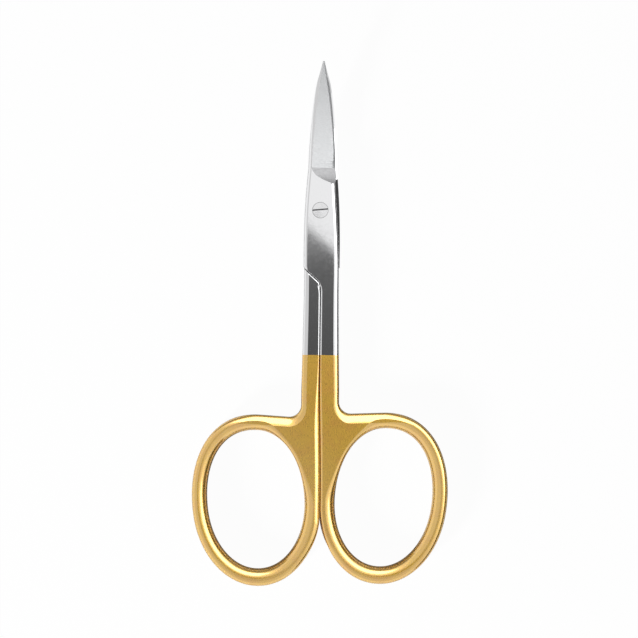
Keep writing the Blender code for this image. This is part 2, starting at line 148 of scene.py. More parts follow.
# Finger rings and yokes
HOLE_HALF_WIDTH = 0.00835
HOLE_HALF_LENGTH = 0.01193
WIRE_SIDE = 0.00262  # widths of the ring's metal
WIRE_TOP = 0.00263
WIRE_BOTTOM = 0.00295
RING_TOP_POWER = 2.17  # how squared the oval is; 2 is an ellipse
RING_BOTTOM_POWER = 2.04
RING_EDGE_ROUND = 0.00092
RING_HOLE_ROUND = 0.00166
RING_DEPTH_SHARE = 0.86
EDGE_DEPTH = 0.00125  # deepest that a round edge goes, short of half the thickness
RING_FROM = math.radians(184)
RING_TO = math.radians(457)
RING_EDGE_RUN = 9  # the ring's edge turns into the yoke's over the last ninth of its outline
TANGENT_STEP = math.radians(0.1)
YOKE_SIDE = math.radians(145)  # where the yoke stands, seen from the hole's middle
YOKE_SPREAD = math.radians(42)  # how far to each side of that the hole's edge is narrower
YOKE_FILLET = 0.00205
YOKE_EDGE_WIDTH = 0.00160
YOKE_EDGE_DEPTH = 0.00064
YOKE_BEVEL_SHARE = 0.55
HOLE_YOKE_ROUND = 0.00065
FRONT_RING_WALL = 0.00275
FRONT_RING_DOWN = 0.04929
FRONT_RING_LEAN = math.radians(5.6)
REAR_RING_WALL = 0.00254
REAR_RING_DOWN = 0.04985
REAR_RING_LEAN = math.radians(4.4)
RING_STEPS = 168
HOLE_STEPS = 150
ARC_STEPS = 14
ROUND_STEPS = 10

# Screw
HEAD_RIM = 0.00008  # straight rim over the head's cone
STEM_RADIUS = 0.00090
STEM_CLEARANCE = 0.00005
SLOT_WIDTH = 0.00024
SLOT_DEPTH = 0.00036
SLOT_TURN = math.radians(5.3)
SLOT_SHIFT = 0.00010  # the slot was cut a little off the middle
SCREW_STEPS = 96

# Modelling
OVERRUN = 0.0010  # how far a cutting tool reaches past the piece
CORNER_PASS = 0.00003  # how far beside the seam's wall the seat's cut turns down
CUT_MARGIN = 0.00001  # how far the blank's plate reaches past its inner face, for that cut to trim
SEAT_MARGIN = 0.000002  # how far that cut passes the half's back
SNAP = 1e-7
LEVEL = 0.99999  # a face counts as level from this share of its normal on
GROUND_FACING = 0.1  # least share of a ground face's normal that looks up
SHARP_ANGLE = math.radians(28)
POLISHED, GOLD, GROUND, HOLLOW, LAPPED = range(5)

# Camera and studio: the camera looks straight down, and a level is a share of white
CAMERA_AXIS = Vector((-0.000464, 0.000959))
CAMERA_HEIGHT = 0.400
VIEW_WIDTH = 0.10952
VIEW_TURN = math.radians(0.634)
CARD_NORMAL = Vector((0.657, 0.754)).normalized()
CARD_EDGE = 0.0209
CARD_SPAN = 0.44
CARD_LEVELS = (  # distances out to the north-east, and the card's level there
    (-0.42, 0.74),
    (-0.22, 0.74),
    (-0.14, 0.66),
    (-0.09, 0.56),
    (-0.06, 0.43),
    (-0.045, 0.31),
    (-0.034, 0.18),
    (-0.024, 0.075),
    (0.02, 0.13),
)
CARD_END_FADES = ((-0.06, -0.10), (0.01, 0.05))  # where its ends start and stop to lighten
CARD_END_LEVEL = 0.73
FLAG_SPAN = 0.7
FLAG_DISTANCE = 0.55
FLAG_HEIGHT = 0.38
EAST_FLAG_LEVEL = 0.06
NORTH_FLAG_LEVEL = 0.25
HIGHLIGHT_PLACE = (0.21, 0.24, 0.50)
HIGHLIGHT_SIZE = (0.90, 0.34)
HIGHLIGHT_RADIANCE = 2.1
SHADOW_PLACE = (-0.70, -0.68, 0.27)
SHADOW_SIZE = (0.15, 0.15)
SHADOW_RADIANCE = 360
FLOOR_RADIUS = 6
FLOOR_STEPS = 64
FLOOR_GAP = 0.00005
FLOOR_LIFT = 0.97  # how far the camera sees the floor as white instead of lit
FLOOR_SHEEN = 0.05  # the metal sees little of that lift, so its edges keep their dark lines
ROOM_LEVEL = 0.12

SEAM = SEAM_GAP / 2
FACE = THICKNESS / 2  # height of a half's outer face, and depth of its back
PLATE = (THICKNESS - LAP_GAP) / 2  # thickness of a lapped plate
SHOULDER_SLOPE = SHOULDER_FALL / (LAP_HALF_WIDTH + SEAM)
TIP_CENTRE = TIP_REACH - TIP_RADIUS

Ring = namedtuple("Ring", "x y lean")
Half = namedtuple("Half", "side ring")
FRONT = Half(1, Ring(FRONT_RING_WALL + HOLE_HALF_WIDTH, -FRONT_RING_DOWN, FRONT_RING_LEAN))
REAR = Half(-1, Ring(REAR_RING_WALL + HOLE_HALF_WIDTH, -REAR_RING_DOWN, REAR_RING_LEAN))

# An edge's finish: its width, its depth, and how far it is a flat bevel instead of round
Edge = namedtuple("Edge", "width depth bevel")

YOKE_EDGE = Edge(YOKE_EDGE_WIDTH, YOKE_EDGE_DEPTH, YOKE_BEVEL_SHARE)
SEAM_RING_EDGE = Edge(SEAM_RING_WIDTH, SEAM_RING_DEPTH, SEAM_BEVEL_SHARE)

# A point of a half's outline, its edges on the plate's face and on the other face, the height of
# that other face, and how far the wall leans with height
Rim = namedtuple("Rim", "x y front back foot lean")


def ease(share):
    """Runs smoothly from 0 to 1 as the share does."""
    share = min(max(share, 0), 1)
    return share * share * (3 - 2 * share)


def blend(low, high, share):
    """What lies a share of the way from low to high."""
    return low + (high - low) * share


def through(shares, place):
    """The smooth curve through a table of (place, height) shares, read at a place."""
    last = len(shares) - 1
    k = max(i for i in range(last) if i == 0 or shares[i][0] <= place)

    def slope(i):
        before = shares[max(i - 1, 0)]
        after = shares[min(i + 1, last)]
        return (after[1] - before[1]) / (after[0] - before[0])

    (start, low), (end, high) = shares[k], shares[k + 1]
    width = end - start
    t = (place - start) / width
    rise = low * (1 + 2 * t) * (1 - t) ** 2 + high * t**2 * (3 - 2 * t)
    return rise + width * (slope(k) * t * (1 - t) ** 2 - slope(k + 1) * t**2 * (1 - t))


def far_side(y):
    """Half width on the side away from the half's own ring: the spine, and the plate below it."""
    if y > BLADE_START:
        share = through(SPINE_SHARES, (y - BLADE_START) / (TIP_CENTRE - BLADE_START))
        return blend(TIP_RADIUS, BLADE_HALF_WIDTH, share)
    share = through(LAP_SIDE_SHARES, (y + SHOULDER_REACH) / (BLADE_START + SHOULDER_REACH))
    return blend(LAP_HALF_WIDTH, BLADE_HALF_WIDTH, share)


def near_side(y):
    """Half width on the side of the half's own ring: the cutting edge, and the shank below it."""
    if y > HEEL_REACH:
        share = (y - HEEL_REACH) / (TIP_CENTRE - HEEL_REACH)
        return blend(HEEL_HALF_WIDTH, TIP_RADIUS, share**EDGE_POWER)
    share = through(SHANK_SIDE_SHARES, (y + SHANK_REACH) / (HEEL_REACH + SHANK_REACH))
    return blend(SHANK_HALF_WIDTH, HEEL_HALF_WIDTH, share)


def spine_round(y):
    """Width of the rounding along the spine, which narrows with the blade."""
    return min(LAP_EDGE_ROUND, SPINE_ROUND_SHARE * (far_side(y) + near_side(y)))


def hone_width(y):
    """Width of the honed bevel, which narrows with the blade too."""
    return min(HONE_WIDTH, HONE_WIDTH_SHARE * (far_side(y) + near_side(y)))


def ground_depth(x, y):
    """What grinding takes off the blade's outer face at a point of the plan."""
    reach = max(y, BLADE_START)
    across = max(x + far_side(reach) - spine_round(reach), 0) * GRIND_FALL_SHARE
    if y > BLADE_START:
        return across + (y - BLADE_START) * GRIND_TAPER_SHARE
    back = min(BLADE_START - y, WHEEL_RADIUS)
    return max(across - WHEEL_RADIUS + math.sqrt(WHEEL_RADIUS**2 - back**2), 0)


def stations(start, end, count):
    """Heights at even steps from start to end, both included."""
    return [blend(start, end, step / count) for step in range(count + 1)]


def blade_stations():
    """Heights of the blade's cross-cuts, from its start to the tip."""
    return stations(BLADE_START, TIP_CENTRE, BLADE_STATIONS)


def arc_between(start, corner, end, radius):
    """Points of the arc that rounds the corner between two straight lines."""
    to_start = (start - corner).normalized()
    to_end = (end - corner).normalized()
    half = to_start.angle(to_end) / 2
    middle = (to_start + to_end).normalized()
    centre = corner + middle * (radius / math.sin(half))
    sweep = math.pi / 2 - half
    side = math.copysign(1, to_start.cross(middle))
    points = []
    for step in range(ARC_STEPS + 1):
        turn = Matrix.Rotation(side * sweep * (1 - 2 * step / ARC_STEPS), 2)
        points.append(centre - turn @ middle * radius)
    return points


def ring_curve(ring, half_width, half_length, shift, turn):
    """The point of a finger ring's leaning, slightly squared oval at an angle of its parameter."""
    across = math.cos(turn)
    along = math.sin(turn)
    power = blend(RING_BOTTOM_POWER, RING_TOP_POWER, ease((along + 1) / 2))
    x = math.copysign(abs(across) ** (2 / power), across) * half_width
    y = math.copysign(abs(along) ** (2 / power), along) * half_length
    point = Matrix.Rotation(-ring.lean, 2) @ Vector((x, y + shift))
    return point + Vector((ring.x, ring.y))


def ring_outside(ring, turn):
    """The same on the ring's outside, whose metal is thicker at the bottom than at the top."""
    half_length = HOLE_HALF_LENGTH + (WIRE_TOP + WIRE_BOTTOM) / 2
    shift = (WIRE_TOP - WIRE_BOTTOM) / 2
    return ring_curve(ring, HOLE_HALF_WIDTH + WIRE_SIDE, half_length, shift, turn)


def lap_edge(y):
    """The edge along the spine and down the plate's far side, on the outer face."""
    width = spine_round(y)
    return Edge(width, width * LAP_DEPTH_SHARE, LAP_BEVEL_SHARE)


def inner_edge(y):
    """The edge under it, on the inner face: a fine bevel on the blade, steep on the plate."""
    share = ease((WEDGE_START - y) / (WEDGE_START - WEDGE_FULL))
    width = min(blend(INNER_BEVEL_WIDTH, WEDGE_WIDTH, share), spine_round(y))
    return Edge(width, blend(INNER_BEVEL_DEPTH, WEDGE_DEPTH, share), 1)


def honed_edge(y):
    """The honed bevel along the cutting edge, which leaves only a little of the thickness."""
    return Edge(hone_width(y), PLATE * HONE_DEPTH_SHARE, 1)


def mixed_edge(low, high, share):
    """An edge a share of the way from one finish to another."""
    return Edge(*(blend(a, b, share) for a, b in zip(low, high)))


def round_edge(width):
    """An edge that is rounded as deep as it is wide."""
    return Edge(width, min(width, EDGE_DEPTH), 0)


def ring_edge(width):
    """A finger ring's slightly flatter rounding."""
    return Edge(width, width * RING_DEPTH_SHARE, 0)


def blade_rims():
    """The outline round the tip and down the far side to the shoulder."""
    inner = LAP_GAP / 2 - CUT_MARGIN
    rims = []
    for step in range(TIP_STEPS + 1):
        turn = math.pi * step / TIP_STEPS
        x = TIP_RADIUS * math.cos(turn)
        y = TIP_CENTRE + TIP_RADIUS * math.sin(turn)
        front = mixed_edge(honed_edge(TIP_CENTRE), lap_edge(TIP_CENTRE), step / TIP_STEPS)
        rims.append(Rim(x, y, front, inner_edge(TIP_CENTRE), inner, 0))
    lap = stations(-SHOULDER_REACH, BLADE_START, LAP_STATIONS)
    for y in reversed(lap[:-1] + blade_stations()[:-1]):
        rims.append(Rim(-far_side(y), y, lap_edge(y), inner_edge(y), inner, 0))
    return rims


def seam_x(half, y):
    """Where the seam's wall stands in a half's own plan."""
    share = ease((y + SEAM_SHIFT_START) / (SEAM_SHIFT_START - SEAM_SHIFT_FULL))
    return SEAM - half.side * SEAM_SHIFT * share


def shoulder_corner(half):
    """The corner between the shoulder and the seam."""
    x = SEAM - half.side * SEAM_SHIFT
    return Vector((x, -SHOULDER_REACH - (x + LAP_HALF_WIDTH) * SHOULDER_SLOPE))


def seam_rims(half):
    """The outline along the shoulder and down the seam to the finger ring."""
    ring = half.ring
    outer = Vector((-LAP_HALF_WIDTH, -SHOULDER_REACH))
    inner = shoulder_corner(half)
    end = Vector((inner.x, ring_outside(ring, RING_FROM).y))
    rims = []
    bevel_end = outer + (inner - outer) * (SHOULDER_BEVEL_END / (inner.x - outer.x))
    for point in (bevel_end, *arc_between(outer, inner, end, SHOULDER_ROUND)):
        front = round_edge(SHOULDER_EDGE_ROUND)
        rims.append(Rim(*point, front, round_edge(SEAM_EDGE_ROUND), -FACE, 0))
    start = rims[-1].y
    for y in stations(start, end.y, SEAM_STATIONS)[1:-1]:
        growth = ease((y + PLATING_REACH) / (ring.y + HOLE_HALF_LENGTH + PLATING_REACH))
        away = ease((start - y) / SHOULDER_EDGE_RUN)
        width = blend(SHOULDER_EDGE_ROUND, blend(SEAM_EDGE_ROUND, SEAM_LAP_ROUND, growth), away)
        front = round_edge(width)
        back = mixed_edge(round_edge(SEAM_EDGE_ROUND), SEAM_RING_EDGE, growth)
        rims.append(Rim(seam_x(half, y), y, front, back, -FACE, away * SEAM_LEAN))
    return rims


def ring_rims(ring):
    """The outline round the finger ring, up to where it runs straight on to the yoke."""
    rims = []
    for step in range(RING_STEPS + 1):
        share = step / RING_STEPS
        x, y = ring_outside(ring, blend(RING_FROM, RING_TO, share))
        x = max(x, SEAM)
        yoke = ease(RING_EDGE_RUN * share - (RING_EDGE_RUN - 1))
        edge = mixed_edge(ring_edge(RING_EDGE_ROUND), YOKE_EDGE, yoke)
        away = ease((x - SEAM) / WIRE_SIDE)
        front = mixed_edge(round_edge(SEAM_LAP_ROUND), edge, away)
        back = mixed_edge(SEAM_RING_EDGE, edge, away)
        rims.append(Rim(x, y, front, back, -FACE, (1 - away) * SEAM_LEAN))
    return rims


def shank_edge(width):
    """The shallow rounding of the shanks and plates."""
    return Edge(width, width * SHANK_DEPTH_SHARE, 0)


def shank_rims(ring):
    """The outline through the yoke's fillet and up the near side to the tip."""
    start = ring_outside(ring, RING_TO)
    heading = start - ring_outside(ring, RING_TO - TANGENT_STEP)
    height = start.y + heading.y * (SHANK_HALF_WIDTH - start.x) / heading.x
    side = Vector((SHANK_HALF_WIDTH, height))
    rims = []
    fillet = arc_between(start, side, Vector((SHANK_HALF_WIDTH, 0)), YOKE_FILLET)
    for index, point in enumerate(fillet):
        edge = mixed_edge(YOKE_EDGE, shank_edge(SHANK_EDGE_ROUND), ease(index / ARC_STEPS))
        rims.append(Rim(*point, edge, edge, -FACE, 0))
    shank = stations(-SHANK_REACH, BLADE_START, SHANK_STATIONS)
    last = rims[-1].y
    for y in shank[:-1] + blade_stations():
        if y < last + SHANK_EDGE_ROUND / 2:
            continue
        edge = shank_edge(blend(SHANK_EDGE_ROUND, PLATE_EDGE_ROUND, ease(1 + y / SHANK_REACH)))
        hone = ease((y - HONE_START) / (HEEL_REACH - HONE_START))
        front = mixed_edge(edge, honed_edge(y), hone)
        rims.append(Rim(near_side(y), y, front, edge, -FACE, 0))
    return rims


def hole_rims(ring):
    """The finger hole's outline, clockwise, so that the metal lies on the same hand as outside."""
    rims = []
    for step in range(HOLE_STEPS):
        turn = -2 * math.pi * step / HOLE_STEPS
        x, y = ring_curve(ring, HOLE_HALF_WIDTH, HOLE_HALF_LENGTH, 0, turn)
        spread = math.cos(YOKE_SPREAD)
        yoke = ease((math.cos(turn - YOKE_SIDE) - spread) / (1 - spread))
        edge = ring_edge(blend(RING_HOLE_ROUND, HOLE_YOKE_ROUND, yoke))
        rims.append(Rim(x, y, edge, edge, -FACE, 0))
    return rims


def mitres(rims):
    """At each point of an outline, the step inward for an edge one unit wide."""
    steps = []
    for index, here in enumerate(rims):
        before = rims[index - 1]
        after = rims[(index + 1) % len(rims)]
        first = Vector((here.x - before.x, here.y - before.y)).normalized().orthogonal()
        second = Vector((after.x - here.x, after.y - here.y)).normalized().orthogonal()
        steps.append((first + second) / (1 + first.dot(second)))
    return steps


def edge_turns():
    """Turns round an edge, from the wall to the flat."""
    return [math.pi / 2 * step / ROUND_STEPS for step in range(ROUND_STEPS + 1)]


def section_rows():
    """The wall's rows, from the back flat round both edges to the front flat: side and turn."""
    return [(-1, turn) for turn in reversed(edge_turns())] + [(1, turn) for turn in edge_turns()]


def section_point(rim, mitre, side, turn):
    """Where a row of the wall passes a point of the outline."""
    edge = rim.front if side > 0 else rim.back
    share = turn / (math.pi / 2)
    step_in = blend(1 - math.cos(turn), share, edge.bevel) * edge.width
    drop = blend(1 - math.sin(turn), 1 - share, edge.bevel) * edge.depth
    x, y = Vector((rim.x, rim.y)) + mitre * step_in
    z = FACE - drop if side > 0 else rim.foot + drop
    return Vector((x + rim.lean * z, y, z))


def wall(bm, rims, rows):
    """Runs an outline up as a wall with finished edges, and returns its first and last loop."""
    place = bm.verts.layers.int["place"]
    steps = mitres(rims)
    verts = [bm.verts.new((rim.x, rim.y, 0)) for rim in rims]
    for index, vert in enumerate(verts):
        vert[place] = index
    edges = [bm.edges.new((verts[index - 1], verts[index])) for index in range(len(verts))]
    first = edges
    for number, row in enumerate(rows):
        if number:
            grown = bmesh.ops.extrude_edge_only(bm, edges=edges)["geom"]
            verts = [item for item in grown if isinstance(item, bmesh.types.BMVert)]
            edges = [item for item in grown if isinstance(item, bmesh.types.BMEdge)]
        for vert in verts:
            vert.co = section_point(rims[vert[place]], steps[vert[place]], *row)
    return first, edges


def forging(half):
    """The blank of a half: its whole outline at full thickness, with the finger hole."""
    outline = blade_rims() + seam_rims(half) + ring_rims(half.ring) + shank_rims(half.ring)
    bm = bmesh.new()
    bm.verts.layers.int.new("place")
    back, front = wall(bm, outline[:-1], section_rows())
    hole_back, hole_front = wall(bm, hole_rims(half.ring), section_rows())
    bmesh.ops.triangle_fill(bm, edges=back + hole_back, use_beauty=True)
    bmesh.ops.triangle_fill(bm, edges=front + hole_front, use_beauty=True)
    bmesh.ops.recalc_face_normals(bm, faces=bm.faces)
    return bm


def turned(profile):
    """A closed solid of revolution about the screw's axis."""
    bm = bmesh.new()
    points = [bm.verts.new((radius, 0, height)) for radius, height in profile]
    edges = [bm.edges.new(pair) for pair in zip(points, points[1:])]
    bmesh.ops.spin(
        bm,
        geom=points + edges,
        axis=(0, 0, 1),
        cent=(0, 0, 0),
        angle=2 * math.pi,
        steps=SCREW_STEPS,
        use_merge=True,
    )
    bmesh.ops.remove_doubles(bm, verts=bm.verts, dist=SNAP)
    bmesh.ops.recalc_face_normals(bm, faces=bm.faces)
    return bm


def new_object(name, bm):
    """An object at the origin with the drawn mesh."""
    mesh = bpy.data.meshes.new(name)
    bm.to_mesh(mesh)
    bm.free()
    obj = bpy.data.objects.new(name, mesh)
    bpy.context.scene.collection.objects.link(obj)
    return obj


def split_faces(obj):
    """Splits faces into triangles: a Boolean isn't reliable on faces that aren't quite flat."""
    bm = bmesh.new()
    bm.from_mesh(obj.data)
    bmesh.ops.triangulate(bm, faces=bm.faces)
    bm.to_mesh(obj.data)
    bm.free()


def cut(body, tool):
    """Takes the tool's shape out of the body."""
    split_faces(body)
    split_faces(tool)
    boolean = body.modifiers.new("cut", "BOOLEAN")
    boolean.operation = "DIFFERENCE"
    boolean.solver = "EXACT"
    boolean.object = tool
    bpy.context.view_layer.objects.active = body
    bpy.ops.object.modifier_apply(modifier=boolean.name)
    bpy.data.objects.remove(tool)


def seat_tool(half):
    """Clears the space behind the plate, down to the seat of the other half's shoulder, and rounds
    the seat's own edge."""
    reach = LAP_HALF_WIDTH + OVERRUN
    gap = SHOULDER_GAP * math.hypot(1, SHOULDER_SLOPE)

    def seat_line(x):
        return -SHOULDER_REACH - gap - (LAP_HALF_WIDTH - x) * SHOULDER_SLOPE

    edge = shoulder_corner(half).x - CORNER_PASS
    corner = Vector((edge, seat_line(edge)))
    right = Vector((reach, seat_line(reach)))
    low = Vector((edge, corner.y - OVERRUN))
    outline = [Vector((reach, TIP_REACH + OVERRUN)), Vector((-reach, TIP_REACH + OVERRUN))]
    outline += [Vector((-reach, low.y)), low]
    outline += [*arc_between(low, corner, right, SHOULDER_ROUND), right]
    flare = Edge(-SEAM_EDGE_ROUND, SEAM_EDGE_ROUND, 0)
    plain = Edge(0, SEAM_EDGE_ROUND, 0)
    top = Edge(0, PLATE, 0)
    edges = [plain if point in (outline[2], low) else flare for point in outline]
    foot = -FACE - SEAT_MARGIN
    rims = [Rim(*point, top, edge, foot, 0) for point, edge in zip(outline, edges)]
    bm = bmesh.new()
    bm.verts.layers.int.new("place")
    rows = [(-1, turn) for turn in reversed(edge_turns())] + [(1, 0)]
    first, last = wall(bm, rims, rows)
    bmesh.ops.triangle_fill(bm, edges=first, use_beauty=True)
    bmesh.ops.triangle_fill(bm, edges=last, use_beauty=True)
    bmesh.ops.recalc_face_normals(bm, faces=bm.faces)
    return new_object("seat_tool", bm)


def with_borders(faces):
    """Some faces with their points and edges, each once and in a fixed order."""
    verts = dict.fromkeys(vert for face in faces for vert in face.verts)
    edges = dict.fromkeys(edge for face in faces for edge in face.edges)
    return [*verts, *edges, *faces]


def blade_geometry(bm):
    """The faces that reach past the start of the blade, with their borders."""
    low = BLADE_START - 2 * STEP
    return with_borders([face for face in bm.faces if max(vert.co.y for vert in face.verts) > low])


def grind(half):
    """Cuts the half across at the plating's edge and up the blade, and thins the blade from its
    outer face, by the ground face's depth at each point."""
    bm = bmesh.new()
    bm.from_mesh(half.data)
    whole = [*bm.verts, *bm.edges, *bm.faces]
    bmesh.ops.bisect_plane(
        bm, geom=whole, dist=SNAP, plane_co=(0, -PLATING_REACH, 0), plane_no=(0, 1, 0)
    )
    for y in (BLADE_START - STEP, *blade_stations()[:-1]):
        bmesh.ops.bisect_plane(
            bm, geom=blade_geometry(bm), dist=SNAP, plane_co=(0, y, 0), plane_no=(0, 1, 0)
        )
    bmesh.ops.triangulate(bm, faces=bm.faces)
    inner = LAP_GAP / 2
    for vert in bm.verts:
        x, y, z = vert.co
        if z > inner and y > BLADE_START - STEP / 2:
            vert.co.z = inner + (z - inner) * (1 - ground_depth(x, min(y, TIP_CENTRE)) / PLATE)
    bm.to_mesh(half.data)
    bm.free()


def grinding_wheel():
    """The wheel whose rim leaves the hollow foot of the ground face; it leans with that face."""
    spine = spine_round(BLADE_START) - far_side(BLADE_START)
    reach = Vector((near_side(BLADE_START) - spine + 2 * OVERRUN, 0, 0))
    reach.z = -reach.x * GRIND_FALL_SHARE
    bm = bmesh.new()
    bmesh.ops.create_circle(bm, cap_ends=True, radius=WHEEL_RADIUS, segments=WHEEL_STEPS)
    bmesh.ops.rotate(bm, verts=bm.verts, matrix=Matrix.Rotation(math.pi / 2, 3, "Y"))
    grown = bmesh.ops.extrude_face_region(bm, geom=bm.faces[:])["geom"]
    end = [item for item in grown if isinstance(item, bmesh.types.BMVert)]
    bmesh.ops.translate(bm, verts=end, vec=reach)
    lift = WHEEL_RADIUS - WHEEL_PASS + OVERRUN * GRIND_FALL_SHARE
    start = (spine - OVERRUN, BLADE_START, FACE + lift)
    bmesh.ops.translate(bm, verts=bm.verts, vec=start)
    bmesh.ops.recalc_face_normals(bm, faces=bm.faces)
    return new_object("grinding_wheel", bm)


def curve_blade(half):
    """Bends the blade up from its foot. The rise depends only on the distance to the screw, so
    that the blades lie against each other however far they are open."""
    reach = TIP_REACH - BLADE_START
    for vert in half.data.vertices:
        distance = math.hypot(vert.co.x, vert.co.y) - BLADE_START
        if vert.co.y > 0 and distance > 0:
            vert.co.z += CURVE_RISE * (distance / reach) ** 2


def finish_faces(half):
    """Gives each face its finish: plated, lapped, ground flat or hollow, or polished."""
    for face in half.data.polygons:
        x, y, z = face.center
        y = min(y, TIP_CENTRE)
        corners = [half.data.vertices[index].co for index in face.vertices]
        depth = max(ground_depth(corner.x, min(corner.y, TIP_CENTRE)) for corner in corners)
        slopes = GROUND_FACING < face.normal.z < LEVEL
        past_spine = x > spine_round(y) - far_side(y)
        if y < -PLATING_REACH:
            face.material_index = GOLD
        elif face.normal.z < -LEVEL and z > 0:
            face.material_index = LAPPED
        elif slopes and past_spine and depth > WHEEL_PASS:
            face.material_index = GROUND if y > BLADE_START else HOLLOW
        else:
            face.material_index = POLISHED


def build_half(name, half, finishes):
    """A half with its plate, its ground blade and its finishes, about the screw's axis."""
    made = new_object(name, forging(half))
    cut(made, seat_tool(half))
    grind(made)
    cut(made, grinding_wheel())
    for finish in finishes:
        made.data.materials.append(finish)
    finish_faces(made)
    if half.side < 0:
        made.data.transform(Matrix.Rotation(math.pi, 4, "Y"))
    made.data.transform(Matrix.Translation((-PIVOT_X, 0, 0)))
    return made


def crisp_borders(half):
    """Keeps level faces level right up to their edges, and a crisp line round the ground face."""
    bm = bmesh.new()
    bm.from_mesh(half.data)
    for edge in bm.edges:
        level = [abs(face.normal.z) > LEVEL for face in edge.link_faces]
        ground = [face.material_index in (GROUND, HOLLOW) for face in edge.link_faces]
        if level.count(True) == 1 or ground.count(True) == 1:
            edge.smooth = False
    bm.to_mesh(half.data)
    bm.free()


def finish_half(half, bore, body):
    """Bores the half for the screw, bends its blade up, and sets it in its place on its body."""
    cut(half, bore)
    curve_blade(half)
    half.data.transform(Matrix.Translation(PIVOT + Vector((0, 0, FACE))))
    half.data.shade_smooth()
    half.data.set_sharp_from_angle(angle=SHARP_ANGLE)
    crisp_borders(half)
    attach(half, body)
    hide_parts(body)


def linear(colour):
    """An sRGB hex colour as the linear colour and alpha that a socket takes."""
    channels = []
    for start in (1, 3, 5):
        value = int(colour[start : start + 2], 16) / 255
        channels.append(value / 12.92 if value <= 0.04045 else ((value + 0.055) / 1.055) ** 2.4)
    return (*channels, 1)


def add(tree, kind, inputs=None, settings=None):
    """Adds a node with its settings; an input takes a value, or a link from another node."""
    made = tree.nodes.new(kind)
    for name, value in (settings or {}).items():
        setattr(made, name, value)
    for name, value in (inputs or {}).items():
        if isinstance(value, bpy.types.NodeSocket):
            tree.links.new(value, made.inputs[name])
        else:
            made.inputs[name].default_value = value
    return made


def metal(name, colour, roughness):
    """A metal's material, with its node tree, its shader and the places on the object."""
    made = bpy.data.materials.new(name)
    made.use_nodes = True
    tree = made.node_tree
    shader = tree.nodes["Principled BSDF"]
    shader.inputs["Base Color"].default_value = linear(colour)
    shader.inputs["Metallic"].default_value = 1
    shader.inputs["Roughness"].default_value = roughness
    place = add(tree, "ShaderNodeTexCoord").outputs["Object"]
    return made, tree, shader, place


def polished_steel():
    """Stainless steel, drop forged and mirror polished on a mop: it shows its surroundings nearly
    sharp and a little wavy, with a grain of fine smudges and long polishing lines."""
    made, tree, shader, place = metal("mirror_polished_steel", "#EAEAEB", 0.05)
    # Smudges 0.4 mm across, a little duller than the steel between them
    spots = {"Vector": place, "Scale": 2500, "Detail": 4, "Roughness": 0.6}
    smudge = add(tree, "ShaderNodeTexNoise", spots)
    dull = {"From Min": 0.40, "From Max": 0.70, "To Min": 0.04, "To Max": 0.065}
    rough = add(tree, "ShaderNodeMapRange", {"Value": smudge.outputs["Fac"], **dull})
    tree.links.new(rough.outputs["Result"], shader.inputs["Roughness"])
    # Waves 4 mm long and half a micrometre deep, left by the mop
    wave = add(tree, "ShaderNodeTexNoise", {"Vector": place, "Scale": 250, "Detail": 1})
    swell = {"Height": wave.outputs["Fac"], "Strength": 1, "Distance": 0.0000005}
    wavy = add(tree, "ShaderNodeBump", swell)
    # Polishing lines 0.1 mm apart and 4 mm long, down the tool, a tenth of a micrometre deep
    stretched = add(tree, "ShaderNodeMapping", {"Vector": place, "Scale": (1, 0.025, 1)})
    strokes = {"Vector": stretched.outputs["Vector"], "Scale": 10000, "Detail": 2}
    lines = add(tree, "ShaderNodeTexNoise", strokes)
    relief = {"Height": lines.outputs["Fac"], "Strength": 1, "Distance": 0.00000012}
    fine = add(tree, "ShaderNodeBump", {**relief, "Normal": wavy.outputs["Normal"]})
    tree.links.new(fine.outputs["Normal"], shader.inputs["Normal"])
    return made


def ground_steel(name, colour):
    """The same steel ground across the blade: an even satin with fine lines from edge to spine,
    a little duller along some of them. Its darker colour in the hollow where the wheel ran out is
    painted shade."""
    made, tree, shader, place = metal(name, colour, 0.6)
    # Grinding lines 0.1 mm apart and 2 mm long, coarser than the real grit so that they show
    stretched = add(tree, "ShaderNodeMapping", {"Vector": place, "Scale": (0.05, 1, 1)})
    grit = {"Vector": stretched.outputs["Vector"], "Scale": 10000, "Detail": 3}
    lines = add(tree, "ShaderNodeTexNoise", grit)
    relief = {"Height": lines.outputs["Fac"], "Strength": 1, "Distance": 0.000006}
    fine = add(tree, "ShaderNodeBump", relief)
    tree.links.new(fine.outputs["Normal"], shader.inputs["Normal"])
    dull = {"From Min": 0.3, "From Max": 0.7, "To Min": 0.52, "To Max": 0.68}
    rough = add(tree, "ShaderNodeMapRange", {"Value": lines.outputs["Fac"], **dull})
    tree.links.new(rough.outputs["Result"], shader.inputs["Roughness"])
    return made


def lapped_steel():
    """The inner faces, lapped flat against each other, with crossed rubbing marks. Their darker
    grey is painted shade between the halves.
    """
    # A grey darker than the polished steel: painted shade where the halves lie over each other
    made, tree, shader, place = metal("lapped_faces_painted_shade", "#9A9A9B", 0.35)
    # Rubbing marks 0.15 mm apart and 1.5 mm long
    across = {"Vector": place, "Rotation": (0, 0, math.radians(35)), "Scale": (1, 0.1, 1)}
    stretched = add(tree, "ShaderNodeMapping", across)
    rubs = {"Vector": stretched.outputs["Vector"], "Scale": 6700, "Detail": 3}
    marks = add(tree, "ShaderNodeTexNoise", rubs)
    relief = {"Height": marks.outputs["Fac"], "Strength": 1, "Distance": 0.000003}
    fine = add(tree, "ShaderNodeBump", relief)
    tree.links.new(fine.outputs["Normal"], shader.inputs["Normal"])
    return made


